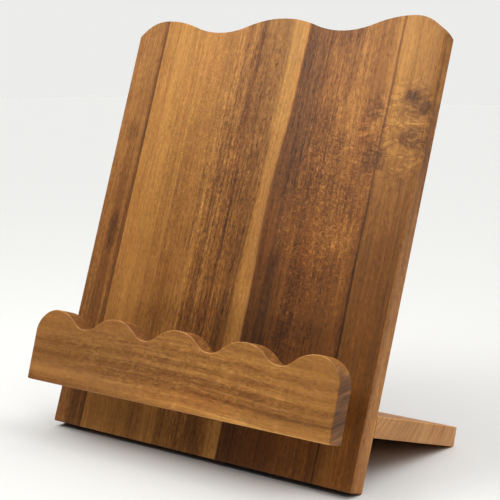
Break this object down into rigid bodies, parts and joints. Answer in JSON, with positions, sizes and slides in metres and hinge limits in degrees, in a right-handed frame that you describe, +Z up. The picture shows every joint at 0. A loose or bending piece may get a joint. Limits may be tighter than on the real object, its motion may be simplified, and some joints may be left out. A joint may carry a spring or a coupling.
{
  "type": "cookbook and tablet stand",
  "caption": "Leaning wooden board with a wavy top, a scalloped lip on a shelf in front and a plank foot behind, for a cookbook or tablet.",
  "frame": {"origin": "on the table, in the middle of the stand's width and of its depth", "axes": "+X to the reader's right, +Y to the back, +Z up"},
  "size_m": [0.24, 0.1506, 0.2724],
  "materials": {
    "acacia_brown": "oiled satin, mid-brown stave",
    "acacia_golden": "oiled satin, golden stave with brown streaks",
    "acacia_dark": "oiled satin, chocolate stave with curly figure",
    "acacia_amber": "oiled satin, amber-brown stave",
    "acacia_shelf": "oiled satin",
    "acacia_lip": "oiled satin, golden-brown with the grain across",
    "acacia_foot": "oiled satin",
    "dowel_beech": "bare turned beech"
  },
  "bodies": {
    "root": {"back_stave_left": "acacia_brown", "back_stave_golden": "acacia_golden", "back_stave_dark": "acacia_dark", "back_stave_right": "acacia_amber", "shelf": "acacia_shelf", "lip": "acacia_lip", "foot": "acacia_foot", "through_dowels": "dowel_beech", "lip_dowels": "dowel_beech"}
  },
  "joints": []
}
